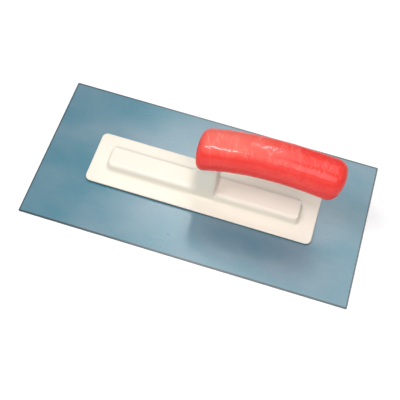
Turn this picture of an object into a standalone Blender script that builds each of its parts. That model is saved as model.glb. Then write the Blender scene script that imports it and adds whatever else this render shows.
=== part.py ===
"""Finishing trowel: a sheet steel blade, a moulded mounting and a bolted two-shell handle.

The blade lies flat with its working face at Z = 0 and its centre at the origin. +X runs along
the blade towards the free end of the handle, +Y runs across it and +Z points up. The build
order on a bench is: core shells around the nut, vinyl grip over the shells, handle bolted to
the mounting from below, and last the blade, whose studs press into the mounting's bosses.
All lengths are in metres.
"""

import math

import bmesh
import bpy

MM = 0.001

CLEARANCE = 0.3 * MM

# Blade: a plain rectangle of spring steel sheet.
BLADE_LENGTH = 280.0 * MM
BLADE_WIDTH = 140.0 * MM
BLADE_THICKNESS = 1.0 * MM
BLADE_CORNER_RADIUS = 0.8 * MM
BLADE_EDGE_BREAK = 0.15 * MM

# Mounting flange.
FLANGE_LENGTH = 198.0 * MM
FLANGE_WIDTH = 50.0 * MM
FLANGE_TOP = 4.0 * MM
FLANGE_CORNER_RADIUS = 5.0 * MM
FLANGE_EDGE_ROUND = 1.0 * MM
MOUNTING_BOTTOM = BLADE_THICKNESS + CLEARANCE

# Hollow rib along the flange.
RIB_LENGTH = 169.4 * MM
RIB_WIDTH = 22.8 * MM
RIB_TOP = 13.0 * MM
RIB_CORNER_RADIUS = 4.0 * MM
RIB_EDGE_ROUND = 4.0 * MM
RIB_END_ROUND = 0.6 * MM
RIB_FOOT_ROUND = 1.5 * MM
RIB_SIDE_DRAFT = 1.0 * MM
RIB_END_DRAFT = 1.6 * MM
RIB_HOLLOW_LENGTH = 161.0 * MM
RIB_HOLLOW_WIDTH = 16.4 * MM
RIB_HOLLOW_TOP = 10.3 * MM
WEB_THICKNESS = 1.5 * MM
WEB_BOTTOM = 2.5 * MM
WALL_BITE = 0.7 * MM
CUT_OVERRUN = 1.0 * MM

# Post between the rib and the handle.
POST_FRONT_X = -6.8 * MM
POST_REAR_X = 10.8 * MM
POST_REAR_TAPER = 0.9 * MM
POST_HALF_WIDTH = 11.0 * MM
POST_EDGE_RADIUS = 2.6 * MM
POST_FILLET = 7.0 * MM
POST_SHOULDER = 54.0 * MM
NECK_HALF_LENGTH = 4.7 * MM
NECK_HALF_WIDTH = 7.0 * MM
NECK_TOP = 61.0 * MM

# Studs welded on the blade.
STUDS_PER_SIDE = 5
STUD_FIRST_X = 22.0 * MM
STUD_PITCH = 13.0 * MM
STUD_BASE_RADIUS = 2.8 * MM
STUD_BASE_HEIGHT = 0.6 * MM
STUD_SHANK_RADIUS = 1.5 * MM
STUD_BARB_RADIUS = 1.9 * MM
STUD_BARBS = 2
STUD_BARB_PITCH = 2.4 * MM
STUD_TOP = 9.3 * MM
BOSS_RADIUS = 4.3 * MM

# Handle bolt and what it clamps.
BOLT_X = 1.8 * MM
BOLT_RADIUS = 3.0 * MM
BOLT_HEAD_FLATS = 10.0 * MM
BOLT_HEAD_BOTTOM = 2.0 * MM
BOLT_HEAD_TOP = 6.0 * MM
BOLT_TIP = 71.0 * MM
BOLT_POINT = 0.8 * MM
BORE_RADIUS = BOLT_RADIUS + CLEARANCE
LOCK_WASHER_RADIUS = 5.9 * MM
LOCK_WASHER_THICKNESS = 1.6 * MM
LOCK_WASHER_SPLIT = math.radians(14.0)
PLATE_LENGTH = 24.0 * MM
PLATE_WIDTH = 14.0 * MM
PLATE_TOP = RIB_HOLLOW_TOP - CLEARANCE
PLATE_BOTTOM = BOLT_HEAD_TOP + LOCK_WASHER_THICKNESS + 2 * CLEARANCE
PLATE_CORNER_RADIUS = 2.0 * MM
NUT_WASHER_RADIUS = 6.0 * MM
NUT_WASHER_BOTTOM = 62.0 * MM
NUT_WASHER_TOP = 63.2 * MM
NUT_FLATS = 10.0 * MM
NUT_BOTTOM = NUT_WASHER_TOP + CLEARANCE
NUT_TOP = NUT_BOTTOM + 5.0 * MM
NUT_EDGE_BREAK = 0.5 * MM

# Handle: an arched bar whose centre line rises and falls along X.
HANDLE_NOSE_X = -8.3 * MM
HANDLE_TAIL_X = 107.2 * MM
HANDLE_HEIGHTS = (58.7 * MM, 76.1 * MM, 75.2 * MM, 67.9 * MM)
HANDLE_HALF_WIDTHS = (16.8 * MM, 15.8 * MM, 15.9 * MM)
HANDLE_HALF_HEIGHTS = (16.7 * MM, 15.7 * MM, 16.8 * MM)
HANDLE_NOSE_ROUND = 7.0 * MM
HANDLE_TAIL_ROUND = 9.0 * MM
HANDLE_NOSE_SLANT = -0.09
HANDLE_TAIL_SLANT = 0.19
HANDLE_SQUARENESS = 2.3
GRIP_WALL = 2.5 * MM
CORE_WALL = 2.6 * MM
CORE_INSET = GRIP_WALL + CLEARANCE
CHAMBER_COUNT = 4
CHAMBER_START_X = 17.0 * MM
CHAMBER_END_X = 96.5 * MM
CHAMBER_WEB = 4.0 * MM
PEG_RADIUS = 1.3 * MM
PEG_LENGTH = 3.0 * MM

# Fineness of the round shapes.
CORNER_STEPS = 4
EDGE_STEPS = 3
POST_FILLET_STEPS = 5
ROUND_STEPS = 24
STUD_STEPS = 12
HANDLE_RING_STEPS = 28
HANDLE_BODY_STEPS = 12
HANDLE_END_STEPS = 4
SMOOTH_ANGLE = math.radians(35.0)

FAR = 0.2


def clear_scene():
    for old_object in list(bpy.data.objects):
        bpy.data.objects.remove(old_object, do_unlink=True)


def make_material(name, colour, roughness, metallic):
    material = bpy.data.materials.new(name)
    material.use_nodes = True
    shader = material.node_tree.nodes["Principled BSDF"]
    shader.inputs["Base Color"].default_value = (*colour, 1.0)
    shader.inputs["Roughness"].default_value = roughness
    shader.inputs["Metallic"].default_value = metallic
    return material


def add_object(name, mesh, material=None):
    """Put a mesh in the scene under its own name, shaded smooth with sharp edges kept."""
    mesh.name = name
    mesh.shade_smooth()
    mesh.set_sharp_from_angle(angle=SMOOTH_ANGLE)
    if material is not None:
        mesh.materials.append(material)
    new_object = bpy.data.objects.new(name, mesh)
    bpy.context.collection.objects.link(new_object)
    return new_object


def add_cutter(name, mesh):
    cutter = add_object(name, mesh)
    cutter.hide_render = True
    cutter.display_type = "WIRE"
    return cutter


def combine(target, operation, other):
    modifier = target.modifiers.new(other.name, "BOOLEAN")
    modifier.operation = operation
    modifier.solver = "EXACT"
    modifier.object = other


def loft_meshes(bodies, closed=False):
    """Skin each body's rings of points in order; a closed loft joins its last ring to its first."""
    shape = bmesh.new()
    for rings in bodies:
        loops = [[shape.verts.new(point) for point in ring] for ring in rings]
        pairs = list(zip(loops[:-1], loops[1:]))
        if closed:
            pairs.append((loops[-1], loops[0]))
        else:
            shape.faces.new(loops[0])
            shape.faces.new(loops[-1])
        for lower, upper in pairs:
            for index in range(len(lower)):
                after = (index + 1) % len(lower)
                shape.faces.new((lower[index], lower[after], upper[after], upper[index]))
    bmesh.ops.recalc_face_normals(shape, faces=shape.faces)
    mesh = bpy.data.meshes.new("loft")
    shape.to_mesh(mesh)
    shape.free()
    return mesh


def loft(rings, closed=False):
    return loft_meshes([rings], closed)


def rounded_rectangle(x_low, x_high, y_half, radius, z):
    """One ring of a rectangle with round corners, symmetric about Y = 0."""
    centres = (
        (x_high - radius, y_half - radius, 0.0),
        (x_low + radius, y_half - radius, 90.0),
        (x_low + radius, radius - y_half, 180.0),
        (x_high - radius, radius - y_half, 270.0),
    )
    ring = []
    for centre_x, centre_y, start in centres:
        for step in range(CORNER_STEPS + 1):
            angle = math.radians(start + 90.0 * step / CORNER_STEPS)
            ring.append((centre_x + radius * math.cos(angle), centre_y + radius * math.sin(angle), z))
    return ring


def centred_rectangle(length, width, radius, z, inset=0.0):
    half_length = length / 2 - inset
    corner = max(radius - inset, BLADE_EDGE_BREAK)
    return rounded_rectangle(-half_length, half_length, width / 2 - inset, corner, z)


def circle(radius, z, centre_x=0.0, steps=ROUND_STEPS):
    angles = [2 * math.pi * step / steps for step in range(steps)]
    return [(centre_x + radius * math.cos(a), radius * math.sin(a), z) for a in angles]


def hexagon(across_flats, z, centre_x=0.0, inset=0.0):
    """A hexagon sampled with as many points as a circle, so that the two can be lofted."""
    ring = []
    for step in range(ROUND_STEPS):
        angle = 2 * math.pi * step / ROUND_STEPS
        from_flat = (angle + math.pi / 6) % (math.pi / 3) - math.pi / 6
        radius = (across_flats / 2 - inset) / math.cos(from_flat)
        ring.append((centre_x + radius * math.cos(angle), radius * math.sin(angle), z))
    return ring


def box(x_low, x_high, y_low, y_high, z_low, z_high):
    """The two rings of a box, for a loft."""
    corners = ((x_low, y_low), (x_high, y_low), (x_high, y_high), (x_low, y_high))
    return [[(x, y, z) for x, y in corners] for z in (z_low, z_high)]


# ---------------------------------------------------------------- blade and studs


def make_blade(material):
    rings = []
    for inset, z in (
        (BLADE_EDGE_BREAK, 0.0),
        (0.0, BLADE_EDGE_BREAK),
        (0.0, BLADE_THICKNESS - BLADE_EDGE_BREAK),
        (BLADE_EDGE_BREAK, BLADE_THICKNESS),
    ):
        rings.append(centred_rectangle(BLADE_LENGTH, BLADE_WIDTH, BLADE_CORNER_RADIUS, z, inset))
    add_object("blade", loft(rings), material)


def stud_positions():
    side = [STUD_FIRST_X + STUD_PITCH * number for number in range(STUDS_PER_SIDE)]
    return sorted([-x for x in side] + side)


def stud_rings():
    """A welding base, then a shank with saw-tooth barbs up to its end."""
    base_top = MOUNTING_BOTTOM + STUD_BASE_HEIGHT
    first_barb = STUD_TOP - STUD_BARBS * STUD_BARB_PITCH
    profile = [
        (STUD_BASE_RADIUS, MOUNTING_BOTTOM),
        (STUD_BASE_RADIUS, base_top),
        (STUD_SHANK_RADIUS, base_top),
        (STUD_SHANK_RADIUS, first_barb),
    ]
    for number in range(STUD_BARBS):
        z = first_barb + STUD_BARB_PITCH * number
        profile.append((STUD_BARB_RADIUS, z))
        profile.append((STUD_SHANK_RADIUS, z + STUD_BARB_PITCH))
    return [circle(radius, z, steps=STUD_STEPS) for radius, z in profile]


def make_studs(material):
    stud_mesh = loft(stud_rings())
    for number, x in enumerate(stud_positions(), start=1):
        stud = add_object(f"blade_stud_{number:02d}", stud_mesh.copy(), material)
        stud.location.x = x
    bpy.data.meshes.remove(stud_mesh)


# ---------------------------------------------------------------- mounting


def rib_ring(z, side_inset, end_inset):
    """One level of the rib, whose ends slope in more than its sides."""
    end_draft = RIB_END_DRAFT * (z - FLANGE_TOP) / (RIB_TOP - FLANGE_TOP)
    half_length = RIB_LENGTH / 2 - end_draft - end_inset
    return rounded_rectangle(-half_length, half_length, RIB_WIDTH / 2 - side_inset, RIB_CORNER_RADIUS, z)


def base_rings():
    """Flange edge, flange top, rib foot, drafted rib side and rounded rib edge in one skin."""
    rings = [centred_rectangle(FLANGE_LENGTH, FLANGE_WIDTH, FLANGE_CORNER_RADIUS, MOUNTING_BOTTOM)]
    quarter_turn = [math.pi / 2 * step / EDGE_STEPS for step in range(EDGE_STEPS + 1)]
    for angle in quarter_turn:
        inset = FLANGE_EDGE_ROUND * (1 - math.cos(angle))
        z = FLANGE_TOP - FLANGE_EDGE_ROUND * (1 - math.sin(angle))
        rings.append(centred_rectangle(FLANGE_LENGTH, FLANGE_WIDTH, FLANGE_CORNER_RADIUS, z, inset))
    for angle in quarter_turn:
        flare = RIB_FOOT_ROUND * (1 - math.sin(angle))
        rings.append(rib_ring(FLANGE_TOP + RIB_FOOT_ROUND * (1 - math.cos(angle)), -flare, -flare))
    for angle in quarter_turn:
        z = RIB_TOP - RIB_EDGE_ROUND * (1 - math.sin(angle))
        side_inset = RIB_SIDE_DRAFT + RIB_EDGE_ROUND * (1 - math.cos(angle))
        end_inset = max(0.0, RIB_END_ROUND - (RIB_TOP - z))
        rings.append(rib_ring(z, side_inset, end_inset))
    return rings


def post_rings(margin=0.0):
    """The tapered post with its swept fillet towards the nose; a margin makes it a cutter."""

    def ring(sweep, z):
        taper = POST_REAR_TAPER * max(0.0, z - RIB_TOP) / (POST_SHOULDER - RIB_TOP)
        return rounded_rectangle(
            POST_FRONT_X - sweep - margin,
            POST_REAR_X - taper + margin,
            POST_HALF_WIDTH + margin,
            POST_EDGE_RADIUS,
            z,
        )

    rings = [ring(POST_FILLET, FLANGE_TOP - FLANGE_EDGE_ROUND)]
    for step in range(POST_FILLET_STEPS + 1):
        angle = math.pi / 2 * step / POST_FILLET_STEPS
        z = RIB_TOP + POST_FILLET * (1 - math.cos(angle))
        rings.append(ring(POST_FILLET * (1 - math.sin(angle)), z))
    rings.append(ring(0.0, POST_SHOULDER + margin))
    return rings


def neck_rings(margin=0.0):
    return [
        rounded_rectangle(
            BOLT_X - NECK_HALF_LENGTH - margin,
            BOLT_X + NECK_HALF_LENGTH + margin,
            NECK_HALF_WIDTH + margin,
            POST_EDGE_RADIUS,
            z,
        )
        for z in (POST_SHOULDER - CUT_OVERRUN, NECK_TOP + margin)
    ]


def web_boxes():
    """Cross webs between the studs, side ribs at the studs and two webs around the bolt head."""
    half_width = RIB_HOLLOW_WIDTH / 2 + WALL_BITE
    ceiling = RIB_HOLLOW_TOP + WALL_BITE
    midways = [STUD_FIRST_X + STUD_PITCH * (number + 0.5) for number in range(STUDS_PER_SIDE - 1)]
    hub = PLATE_LENGTH / 2 + CLEARANCE + WEB_THICKNESS / 2
    places = [(x, WEB_BOTTOM) for x in midways + [-x for x in midways]]
    places += [(x, WEB_BOTTOM) for x in (BOLT_X - hub, BOLT_X + hub)]
    places += [(x, MOUNTING_BOTTOM + STUD_BASE_HEIGHT) for x in stud_positions()]
    half = WEB_THICKNESS / 2
    return [box(x - half, x + half, -half_width, half_width, z, ceiling) for x, z in places]


def boss_rings(x):
    return [circle(BOSS_RADIUS, z, x, STUD_STEPS) for z in (MOUNTING_BOTTOM, RIB_HOLLOW_TOP + WALL_BITE)]


def stud_hole_rings(x):
    step_z = MOUNTING_BOTTOM + STUD_BASE_HEIGHT + CLEARANCE
    levels = (
        (STUD_BASE_RADIUS + CLEARANCE, MOUNTING_BOTTOM - CUT_OVERRUN),
        (STUD_BASE_RADIUS + CLEARANCE, step_z),
        (STUD_BARB_RADIUS + CLEARANCE, step_z),
        (STUD_BARB_RADIUS + CLEARANCE, STUD_TOP + CLEARANCE),
    )
    return [circle(radius, z, x, STUD_STEPS) for radius, z in levels]


def make_mounting(material):
    mounting = add_object("mounting", loft(base_rings()), material)
    hollow = [
        centred_rectangle(RIB_HOLLOW_LENGTH, RIB_HOLLOW_WIDTH, POST_EDGE_RADIUS, z)
        for z in (MOUNTING_BOTTOM - CUT_OVERRUN, RIB_HOLLOW_TOP)
    ]
    bore_limits = (RIB_HOLLOW_TOP - CUT_OVERRUN, NECK_TOP + CUT_OVERRUN)
    bore = [circle(BORE_RADIUS, z, BOLT_X) for z in bore_limits]
    studs = stud_positions()
    combine(mounting, "UNION", add_cutter("post_body", loft(post_rings())))
    combine(mounting, "UNION", add_cutter("neck_body", loft(neck_rings())))
    combine(mounting, "DIFFERENCE", add_cutter("rib_hollow", loft(hollow)))
    combine(mounting, "UNION", add_cutter("rib_webs", loft_meshes(web_boxes())))
    combine(mounting, "UNION", add_cutter("stud_bosses", loft_meshes([boss_rings(x) for x in studs])))
    stud_holes = loft_meshes([stud_hole_rings(x) for x in studs])
    combine(mounting, "DIFFERENCE", add_cutter("stud_holes", stud_holes))
    combine(mounting, "DIFFERENCE", add_cutter("bolt_bore", loft(bore)))


# ---------------------------------------------------------------- fasteners


def make_backing_plate(material):
    rings = []
    for z in (PLATE_BOTTOM, PLATE_TOP):
        rings.append(centred_rectangle(PLATE_LENGTH, PLATE_WIDTH, PLATE_CORNER_RADIUS, z))
    plate = add_object("backing_plate", loft(rings), material)
    plate.location.x = BOLT_X
    hole_limits = (PLATE_BOTTOM - CUT_OVERRUN, PLATE_TOP + CUT_OVERRUN)
    hole = [circle(BORE_RADIUS, z, BOLT_X) for z in hole_limits]
    combine(plate, "DIFFERENCE", add_cutter("plate_hole", loft(hole)))


def make_lock_washer(material):
    """A spring washer pressed flat: a ring with a split in it."""
    bottom = BOLT_HEAD_TOP + CLEARANCE
    top = bottom + LOCK_WASHER_THICKNESS
    rings = []
    for step in range(ROUND_STEPS):
        share = step / (ROUND_STEPS - 1)
        angle = LOCK_WASHER_SPLIT / 2 + share * (2 * math.pi - LOCK_WASHER_SPLIT)
        ring = []
        for radius, z in (
            (BORE_RADIUS, bottom),
            (LOCK_WASHER_RADIUS, bottom),
            (LOCK_WASHER_RADIUS, top),
            (BORE_RADIUS, top),
        ):
            ring.append((radius * math.cos(angle), radius * math.sin(angle), z))
        rings.append(ring)
    washer = add_object("lock_washer", loft(rings), material)
    washer.location.x = BOLT_X


def make_bolt(material):
    rings = [
        hexagon(BOLT_HEAD_FLATS, BOLT_HEAD_BOTTOM, inset=NUT_EDGE_BREAK),
        hexagon(BOLT_HEAD_FLATS, BOLT_HEAD_BOTTOM + NUT_EDGE_BREAK),
        hexagon(BOLT_HEAD_FLATS, BOLT_HEAD_TOP),
        circle(BOLT_RADIUS, BOLT_HEAD_TOP),
        circle(BOLT_RADIUS, BOLT_TIP - BOLT_POINT),
        circle(BOLT_RADIUS - BOLT_POINT, BOLT_TIP),
    ]
    bolt = add_object("handle_bolt", loft(rings), material)
    bolt.location.x = BOLT_X


def make_nut_washer(material):
    rings = [
        circle(BORE_RADIUS, NUT_WASHER_BOTTOM),
        circle(NUT_WASHER_RADIUS, NUT_WASHER_BOTTOM),
        circle(NUT_WASHER_RADIUS, NUT_WASHER_TOP),
        circle(BORE_RADIUS, NUT_WASHER_TOP),
    ]
    washer = add_object("nut_washer", loft(rings, closed=True), material)
    washer.location.x = BOLT_X


def make_nut(material):
    rings = [
        circle(BORE_RADIUS, NUT_BOTTOM),
        hexagon(NUT_FLATS, NUT_BOTTOM, inset=NUT_EDGE_BREAK),
        hexagon(NUT_FLATS, NUT_BOTTOM + NUT_EDGE_BREAK),
        hexagon(NUT_FLATS, NUT_TOP - NUT_EDGE_BREAK),
        hexagon(NUT_FLATS, NUT_TOP, inset=NUT_EDGE_BREAK),
        circle(BORE_RADIUS, NUT_TOP),
    ]
    nut = add_object("handle_nut", loft(rings, closed=True), material)
    nut.location.x = BOLT_X


# ---------------------------------------------------------------- handle


def through_three(values, share):
    """The parabola through a first, a middle and a last value."""
    first, middle, last = values
    return (
        first * (1 - share) * (1 - 2 * share)
        + middle * 4 * share * (1 - share)
        + last * share * (2 * share - 1)
    )


def centre_height(share):
    """Cubic Bezier height of the handle's centre line, from nose (0) to tail (1)."""
    first, second, third, last = HANDLE_HEIGHTS
    rest = 1 - share
    return rest**3 * first + 3 * rest**2 * share * second + 3 * rest * share**2 * third + share**3 * last


def handle_section(x, inset, end_inset):
    """One superellipse ring of the handle at a place along X."""
    share = (x - HANDLE_NOSE_X) / (HANDLE_TAIL_X - HANDLE_NOSE_X)
    half_width = through_three(HANDLE_HALF_WIDTHS, share) - inset - end_inset
    half_height = through_three(HANDLE_HALF_HEIGHTS, share) - inset - end_inset
    slant = HANDLE_NOSE_SLANT + (HANDLE_TAIL_SLANT - HANDLE_NOSE_SLANT) * share
    power = 2 / HANDLE_SQUARENESS
    ring = []
    for step in range(HANDLE_RING_STEPS):
        angle = 2 * math.pi * step / HANDLE_RING_STEPS
        across = math.cos(angle)
        up = math.sin(angle)
        y = math.copysign(abs(across) ** power, across) * half_width
        rise = math.copysign(abs(up) ** power, up) * half_height
        ring.append((x + slant * rise, y, centre_height(share) + rise))
    return ring


def handle_rings(inset):
    """The whole handle, shrunk by an inset, with a rounded nose and a rounder tail."""
    nose_round = HANDLE_NOSE_ROUND - inset
    tail_round = HANDLE_TAIL_ROUND - inset
    body_start = HANDLE_NOSE_X + inset + nose_round
    body_end = HANDLE_TAIL_X - inset - tail_round
    rings = []
    for step in range(HANDLE_END_STEPS):
        angle = math.pi / 2 * step / HANDLE_END_STEPS
        x = body_start - nose_round * math.cos(angle)
        rings.append(handle_section(x, inset, nose_round * (1 - math.sin(angle))))
    for step in range(HANDLE_BODY_STEPS + 1):
        x = body_start + (body_end - body_start) * step / HANDLE_BODY_STEPS
        rings.append(handle_section(x, inset, 0.0))
    for step in range(1, HANDLE_END_STEPS + 1):
        angle = math.pi / 2 * step / HANDLE_END_STEPS
        x = body_end + tail_round * math.sin(angle)
        rings.append(handle_section(x, inset, tail_round * (1 - math.cos(angle))))
    return rings


def make_grip(material, post_socket):
    grip = add_object("handle_grip", loft(handle_rings(0.0)), material)
    combine(grip, "DIFFERENCE", add_cutter("grip_lining", loft(handle_rings(GRIP_WALL))))
    combine(grip, "DIFFERENCE", post_socket)


def chamber_bounds():
    """The X limits of each hollow chamber inside the core."""
    pitch = (CHAMBER_END_X - CHAMBER_START_X + CHAMBER_WEB) / CHAMBER_COUNT
    starts = [CHAMBER_START_X + pitch * number for number in range(CHAMBER_COUNT)]
    return [(start, start + pitch - CHAMBER_WEB) for start in starts]


def chamber_rings(start, end):
    return [handle_section(x, CORE_INSET + CORE_WALL, 0.0) for x in (start, (start + end) / 2, end)]


def fastener_pocket_bodies():
    """Room for the washer, for the nut and for the bolt's point, stacked along the bolt."""
    shaft_radius = NUT_WASHER_RADIUS + CLEARANCE
    washer_room = [circle(shaft_radius, z, BOLT_X) for z in (NUT_WASHER_BOTTOM - CLEARANCE, NUT_BOTTOM)]
    nut_room = [hexagon(NUT_FLATS + 2 * CLEARANCE, z, BOLT_X) for z in (NUT_BOTTOM, NUT_TOP + CLEARANCE)]
    point_room = [circle(BORE_RADIUS, z, BOLT_X) for z in (NUT_TOP + CLEARANCE, BOLT_TIP + CLEARANCE)]
    lead_in = [circle(BORE_RADIUS, z, BOLT_X) for z in (NECK_TOP, NUT_WASHER_BOTTOM - CLEARANCE)]
    return lead_in + washer_room + nut_room + point_room


def peg_rings(x, margin):
    share = (x - HANDLE_NOSE_X) / (HANDLE_TAIL_X - HANDLE_NOSE_X)
    radius = PEG_RADIUS + margin
    rings = []
    for y in (-PEG_LENGTH, PEG_LENGTH + margin):
        ring = []
        for step in range(ROUND_STEPS):
            angle = 2 * math.pi * step / ROUND_STEPS
            ring.append((x + radius * math.cos(angle), y, centre_height(share) + radius * math.sin(angle)))
        rings.append(ring)
    return rings


def make_core_shells(material, post_socket):
    """Two hollow half shells that meet on the plane Y = 0 and trap the nut and its washer."""
    chambers = chamber_bounds()
    web_centres = [end + CHAMBER_WEB / 2 for _, end in chambers[:-1]]
    chamber_bodies = loft_meshes([chamber_rings(*limits) for limits in chambers])
    chamber_cutter = add_cutter("core_chambers", chamber_bodies)
    neck_socket = add_cutter("neck_socket", loft(neck_rings(CLEARANCE)))
    nut_pocket = add_cutter("nut_pocket", loft(fastener_pocket_bodies()))
    pegs = add_cutter("core_pegs", loft_meshes([peg_rings(x, 0.0) for x in web_centres]))
    socket_bodies = loft_meshes([peg_rings(x, CLEARANCE) for x in web_centres])
    peg_sockets = add_cutter("core_peg_sockets", socket_bodies)
    for name, side in (("handle_core_left", -1), ("handle_core_right", 1)):
        shell = add_object(name, loft(handle_rings(CORE_INSET)), material)
        far_side = sorted((side * CLEARANCE / 2, -side * FAR))
        half_space = loft(box(-FAR, FAR, *far_side, -FAR, FAR))
        combine(shell, "DIFFERENCE", add_cutter(f"{name}_half_space", half_space))
        combine(shell, "DIFFERENCE", chamber_cutter)
        combine(shell, "DIFFERENCE", post_socket)
        combine(shell, "DIFFERENCE", neck_socket)
        combine(shell, "DIFFERENCE", nut_pocket)
        if side < 0:
            combine(shell, "UNION", pegs)
        else:
            combine(shell, "DIFFERENCE", peg_sockets)


def main():
    clear_scene()
    blade_steel = make_material("blade_steel", (0.19, 0.29, 0.34), 0.38, 0.85)
    cream_plastic = make_material("cream_plastic", (0.88, 0.79, 0.68), 0.45, 0.0)
    zinc_steel = make_material("zinc_steel", (0.62, 0.62, 0.60), 0.30, 1.0)
    red_vinyl = make_material("red_vinyl", (0.80, 0.06, 0.045), 0.25, 0.0)
    core_plastic = make_material("core_plastic", (0.30, 0.30, 0.31), 0.55, 0.0)
    make_blade(blade_steel)
    make_studs(zinc_steel)
    make_mounting(cream_plastic)
    make_backing_plate(zinc_steel)
    make_lock_washer(zinc_steel)
    make_bolt(zinc_steel)
    make_nut_washer(zinc_steel)
    make_nut(zinc_steel)
    post_socket = add_cutter("post_socket", loft(post_rings(CLEARANCE)))
    make_grip(red_vinyl, post_socket)
    make_core_shells(core_plastic, post_socket)


main()
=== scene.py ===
"""Looks of the finishing trowel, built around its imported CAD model.

The blade and the inner pieces keep their CAD shape and get a finish. The mounting and the vinyl
grip are built again here as fine meshes: the mounting from a signed distance field, so that its
fillets run into one another as in a mould, and the grip as a wrinkled skin. Lengths are in
metres, except in the distance fields and shape formulas, which work in millimetres.
"""

import math

import bmesh
import bpy
import numpy as np
from mathutils import Matrix, Vector, noise


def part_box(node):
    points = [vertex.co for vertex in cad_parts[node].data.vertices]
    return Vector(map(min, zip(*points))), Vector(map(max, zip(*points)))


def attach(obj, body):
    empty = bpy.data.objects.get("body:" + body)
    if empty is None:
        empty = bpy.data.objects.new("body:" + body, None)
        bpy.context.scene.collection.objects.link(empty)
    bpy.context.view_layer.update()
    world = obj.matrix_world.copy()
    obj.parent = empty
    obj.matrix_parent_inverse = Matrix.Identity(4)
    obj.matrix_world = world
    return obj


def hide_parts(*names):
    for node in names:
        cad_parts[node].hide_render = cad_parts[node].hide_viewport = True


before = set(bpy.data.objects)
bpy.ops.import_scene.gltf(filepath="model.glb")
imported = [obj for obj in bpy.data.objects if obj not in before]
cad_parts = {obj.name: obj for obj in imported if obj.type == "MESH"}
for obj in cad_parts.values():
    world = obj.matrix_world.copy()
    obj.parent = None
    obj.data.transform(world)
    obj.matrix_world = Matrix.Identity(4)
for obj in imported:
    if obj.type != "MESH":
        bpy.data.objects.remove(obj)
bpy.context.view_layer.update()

MM = 0.001

# Gap between parts that touch in use, in millimetres.
CLEARANCE = 0.3

# Creases of the vinyl skin. Heights, places and widths in millimetres.
FIRST_SHARE = 0.85
SECOND_SHARE = 0.35
CREST_SHARPNESS = 3.6
FOLD_HEIGHT = 0.15
SWELL_HEIGHT = 0.24
CREASE_X = -2.0
CREASE_LEAN = -0.42
CREASE_WIDTH = 0.45
CREASE_LOWEST = 62.0
CALM_NOSE_END = 5.0
CREASE_LAYER = "creases"

# Fineness of the grip's two skins: points in a ring, rings in a rounded end, rings in the body.
SKIN_FINENESS = (280, 12, 262)
SKIN_CAP_RINGS = 12
LINING_FINENESS = (96, 8, 40)

# Edges sharper than this many degrees stay sharp when shaded.
MOUNTING_SHARP_ANGLE = 38.0
GRIP_SHARP_ANGLE = 50.0

# Finishes. Widths and heights in millimetres.
BLADE_FILM_IOR = 1.9
# Widths of the painted shade along the blade's side and front edges.
SIDE_RIM_SHADE_WIDTH = 1.4
FRONT_RIM_SHADE_WIDTH = 1.7
# Band of painted shade at the foot of the mounting's flange, as heights above its underside.
FOOT_SHADE_START = 1.1
FOOT_SHADE_HEIGHT = 1.9
PLASTIC_IOR = 1.48
VINYL_COAT = 0.45
VINYL_COAT_ROUGHNESS = 0.09

# Camera. Angles in degrees; distance and target in metres.
CAMERA_AZIMUTH = 9.72
CAMERA_ELEVATION = 60.27
CAMERA_ROLL = 7.95
CAMERA_DISTANCE = 0.699
CAMERA_LENS = 74.07
CAMERA_TARGET = Vector((0.0, -0.0114, 0.0))

# Lights and floor. Sizes and distances in metres.
WHITE = (1.0, 1.0, 1.0)
COOL = (0.82, 0.93, 1.0)
PANEL_DISTANCE = 1.3
PANEL_SIZE = 0.75
PANEL_TOP = (0.0, 1.0, 0.1)
WORLD_STRENGTH = 0.12
FLOOR_HALF = 3.0
FLOOR_Z = -0.0002

# Name, azimuth, elevation, watts and tint of the large soft panels.
PANELS = (
    ("zenith", 0.0, 88.0, 1.5, WHITE),
    ("high_front", 8.0, 62.0, 2.6, WHITE),
    ("high_front_right", 32.0, 58.0, 5.2, WHITE),
    ("high_back", 162.0, 64.0, 3.5, WHITE),
    ("high_back_left", 220.0, 74.0, 0.45, WHITE),
    ("front_right", 14.0, 36.0, 1.2, WHITE),
    ("low_front", 0.0, 16.0, 0.6, COOL),
)

# Name, place, watts, width, length and direction of the long side of the smaller lights.
SMALL_LIGHTS = (
    ("key", (-0.10, 0.46, 0.91), 0.4, 0.30, 0.30, (1.0, 0.0, 0.0)),
    ("spot", (-0.12, 0.525, 0.89), 0.5, 0.08, 0.08, (1.0, 0.0, 0.0)),
    ("strip", (-2.08, -0.88, 3.32), 72.0, 0.07, 2.0, (0.68, -0.70, 0.23)),
)


def centre_x(node):
    """Middle of a CAD node along X, in millimetres."""
    low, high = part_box(node)
    return (low.x + high.x) / 2 / MM


def limits(node):
    """Lowest and highest corner of a CAD node, in millimetres."""
    low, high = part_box(node)
    return low / MM, high / MM


STUD_NODES = [name for name in sorted(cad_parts) if name.startswith("blade_stud")]
STUD_PLACES = [centre_x(name) for name in STUD_NODES]
BOLT_X = centre_x("handle_bolt")
MOUNT_LOW, MOUNT_HIGH = limits("mounting")
GRIP_LOW, GRIP_HIGH = limits("handle_grip")
PLATE_LOW, PLATE_HIGH = limits("backing_plate")
STUD_LOW, STUD_HIGH = limits(STUD_NODES[0])

# Mounting, in millimetres.
FLANGE_TOP = 4.0
FLANGE_CORNER = 5.0
FLANGE_EDGE = 1.0
RIB_HALF_LENGTH = 84.7
RIB_HALF_WIDTH = 11.4
RIB_TOP = 13.0
RIB_EDGE = 4.0
RIB_SIDE_SLOPE = 0.09
RIB_END_SLOPE = 0.178
RIB_CORNER = 4.5
RIB_END_EDGE = 0.9
FOOT_FILLET = 2.2
FOOT_FILLET_RIGHT = 0.9
FOOT_CHANGE_START = 79.0
FOOT_CHANGE_END = 83.0
RIB_HOLLOW_HALF_LENGTH = 80.5
RIB_HOLLOW_HALF_WIDTH = 8.2
RIB_HOLLOW_TOP = 10.3
HOLLOW_CORNER = 2.6
WEB_THICKNESS = 1.5
WEB_BOTTOM = 2.5
BOSS_RADIUS = 4.3
BORE_RADIUS = 3.3
STUD_SHANK_RADIUS = 1.9
STUD_STEP = 0.9
STUD_BASE_ROOM = 0.6
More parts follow.
